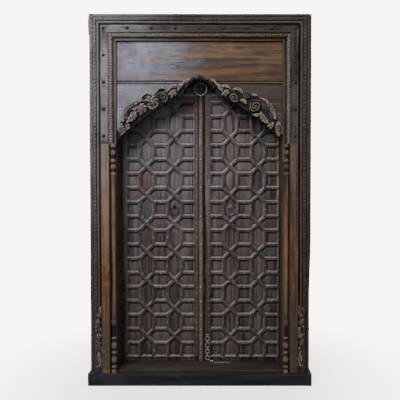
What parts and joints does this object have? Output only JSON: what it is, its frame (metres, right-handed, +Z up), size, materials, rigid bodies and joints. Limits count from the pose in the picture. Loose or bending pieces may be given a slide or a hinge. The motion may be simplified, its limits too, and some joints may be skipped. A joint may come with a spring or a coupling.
{
  "type": "carved double-leaf temple door with frame",
  "caption": "Carved double-leaf wooden door in a deep moulded frame, with a foliate arch, lattice leaves on pivot pins, ring pulls and a door chain.",
  "frame": {"origin": "on the floor, in the middle of the sill beam", "axes": "+X to the right seen from the carved side, +Y to the back, +Z up; the carved side faces -Y and the leaves swing to +Y"},
  "size_m": [1.462, 0.31, 2.42],
  "materials": {
    "weathered_teak": "aged teak, silvered by handling and daylight, low sheen",
    "oiled_teak": "aged teak, oiled brown, worn smooth",
    "dark_teak": "aged teak, darkened, matt in its recesses",
    "sill_timber": "blackened timber",
    "wrought_iron": "hand-forged iron, blackened and worn"
  },
  "bodies": {
    "frame": {"sill_beam": "sill_timber", "threshold_board": "dark_teak", "left_post": "oiled_teak", "right_post": "oiled_teak", "head_beam": "dark_teak", "lintel": "dark_teak", "left_outer_moulding": "weathered_teak", "right_outer_moulding": "weathered_teak", "top_outer_moulding": "weathered_teak", "left_nailed_band": "weathered_teak", "right_nailed_band": "weathered_teak", "top_nailed_band": "weathered_teak", "left_rope_moulding": "oiled_teak", "right_rope_moulding": "oiled_teak", "top_rope_moulding": "oiled_teak", "frame_nails": "wrought_iron", "transom_board": "weathered_teak", "transom_batten": "weathered_teak", "left_spandrel_boards": "weathered_teak", "right_spandrel_boards": "weathered_teak", "left_arch_carving": "weathered_teak", "right_arch_carving": "weathered_teak", "left_jamb_facing": "oiled_teak", "right_jamb_facing": "oiled_teak", "left_column": "dark_teak", "right_column": "dark_teak", "left_floral_pilaster": "dark_teak", "right_floral_pilaster": "dark_teak", "threshold_strap": "wrought_iron", "threshold_staple": "wrought_iron", "sill_bolt": "wrought_iron", "lintel_ring_eye": "wrought_iron"},
    "left_leaf": {"left_pivot_stile": "dark_teak", "left_boards": "dark_teak", "left_ledges": "dark_teak", "left_meeting_stile": "dark_teak", "left_lattice": "dark_teak", "left_lattice_nails": "wrought_iron", "left_stud_strips": "dark_teak", "left_top_moulding": "dark_teak", "astragal": "oiled_teak", "astragal_bosses": "wrought_iron", "left_ring_eye": "wrought_iron"},
    "right_leaf": {"right_pivot_stile": "dark_teak", "right_boards": "dark_teak", "right_ledges": "dark_teak", "right_meeting_stile": "dark_teak", "right_lattice": "dark_teak", "right_lattice_nails": "wrought_iron", "right_stud_strips": "dark_teak", "right_top_moulding": "dark_teak", "right_ring_eye": "wrought_iron", "chain_staple": "wrought_iron"},
    "left_pull": {"left_ring": "wrought_iron"},
    "right_pull": {"right_ring": "wrought_iron"},
    "head_ring": {"lintel_ring": "wrought_iron"},
    "link_1": {"chain_link_1": "wrought_iron"},
    "link_2": {"chain_link_2": "wrought_iron"},
    "link_3": {"chain_link_3": "wrought_iron"},
    "link_4": {"chain_link_4": "wrought_iron"}
  },
  "joints": [
    {"name": "left_leaf_swing", "type": "hinge", "parent": "frame", "child": "left_leaf", "pos_m": [-0.5455, 0.1225, 0.08], "axis": [0, 0, 1], "range_deg": [0, 90]},
    {"name": "right_leaf_swing", "type": "hinge", "parent": "frame", "child": "right_leaf", "pos_m": [0.5455, 0.1225, 0.08], "axis": [0, 0, -1], "range_deg": [0, 90]},
    {"name": "left_ring_swing", "type": "hinge", "parent": "left_leaf", "child": "left_pull", "pos_m": [-0.18505, 0.079, 1.16068], "axis": [-1, 0, 0], "range_deg": [0, 150]},
    {"name": "right_ring_swing", "type": "hinge", "parent": "right_leaf", "child": "right_pull", "pos_m": [0.20205, 0.079, 1.16068], "axis": [-1, 0, 0], "range_deg": [0, 150]},
    {"name": "lintel_ring_swing", "type": "hinge", "parent": "frame", "child": "head_ring", "pos_m": [0, -0.01, 1.99765], "axis": [-1, 0, 0], "range_deg": [-50, 50]},
    {"name": "chain_link_1_swing", "type": "hinge", "parent": "right_leaf", "child": "link_1", "pos_m": [0.042, 0.072, 0.2734], "axis": [-1, 0, 0], "range_deg": [0, 60]},
    {"name": "chain_link_2_swing", "type": "hinge", "parent": "link_1", "child": "link_2", "pos_m": [0.042, 0.072, 0.2294], "axis": [-1, 0, 0], "range_deg": [0, 40]},
    {"name": "chain_link_3_swing", "type": "hinge", "parent": "link_2", "child": "link_3", "pos_m": [0.042, 0.072, 0.1854], "axis": [-1, 0, 0], "range_deg": [0, 40]},
    {"name": "chain_link_4_swing", "type": "hinge", "parent": "link_3", "child": "link_4", "pos_m": [0.042, 0.072, 0.1414], "axis": [-1, 0, 0], "range_deg": [0, 40]}
  ]
}
